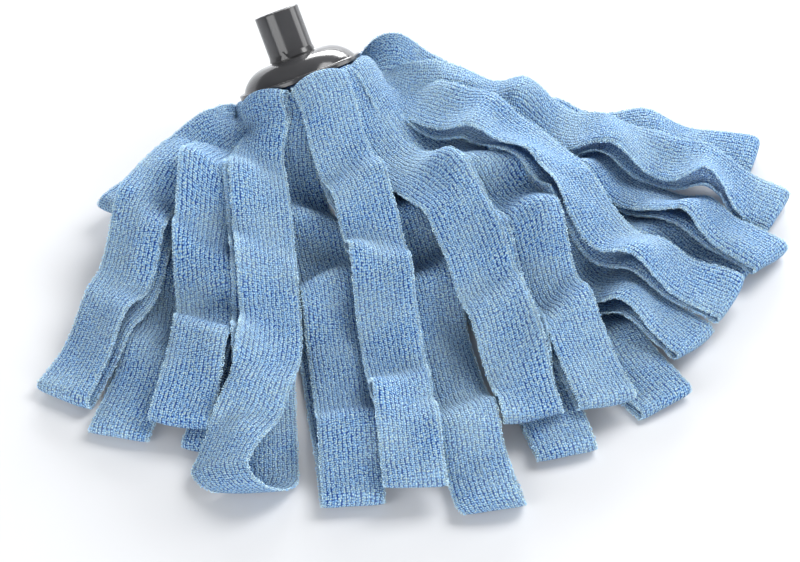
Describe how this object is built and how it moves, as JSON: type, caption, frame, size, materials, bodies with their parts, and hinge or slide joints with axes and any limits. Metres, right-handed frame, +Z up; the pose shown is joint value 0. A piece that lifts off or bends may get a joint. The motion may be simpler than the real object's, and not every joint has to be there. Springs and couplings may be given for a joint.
{
  "type": "strip mop head",
  "caption": "Mop head with a round dome, a swivelling handle socket and looped terry strips, lying spread on the floor.",
  "frame": {"origin": "on the floor, under the middle of the spread head", "axes": "+Z up; +X towards the strips' wide right side; +Y towards the socket, away from the fan of strips"},
  "size_m": [0.4644, 0.3598, 0.0965],
  "materials": {
    "grey_plastic": "gloss, dark grey moulded plastic",
    "blue_terry": "matt, light blue microfibre terry",
    "ring_cloth": "matt, stitched cloth ring",
    "washer_plastic": "black nylon",
    "screw_steel": "zinc plated"
  },
  "bodies": {
    "head": {"dome_cover": "grey_plastic", "binding_ring": "ring_cloth", "clamp_plate": "grey_plastic", "clamp_screws": "screw_steel", "thrust_washer": "washer_plastic", "strip_01": "blue_terry", "strip_02": "blue_terry", "strip_03": "blue_terry", "strip_04": "blue_terry", "strip_05": "blue_terry", "strip_06": "blue_terry", "strip_07": "blue_terry", "strip_08": "blue_terry", "strip_09": "blue_terry", "strip_10": "blue_terry", "strip_11": "blue_terry", "strip_12": "blue_terry", "strip_13": "blue_terry", "strip_14": "blue_terry", "strip_15": "blue_terry", "strip_16": "blue_terry", "strip_17": "blue_terry", "strip_18": "blue_terry", "strip_19": "blue_terry", "strip_20": "blue_terry"},
    "socket": {"handle_socket": "grey_plastic", "retaining_disc": "grey_plastic", "pivot_screw": "screw_steel"}
  },
  "joints": [
    {"name": "socket_swivel", "type": "hinge", "parent": "head", "child": "socket", "pos_m": [-0.08641, 0.14091, 0.052], "axis": [-0.3466, 0.5769, 0.7396], "continuous": true}
  ]
}
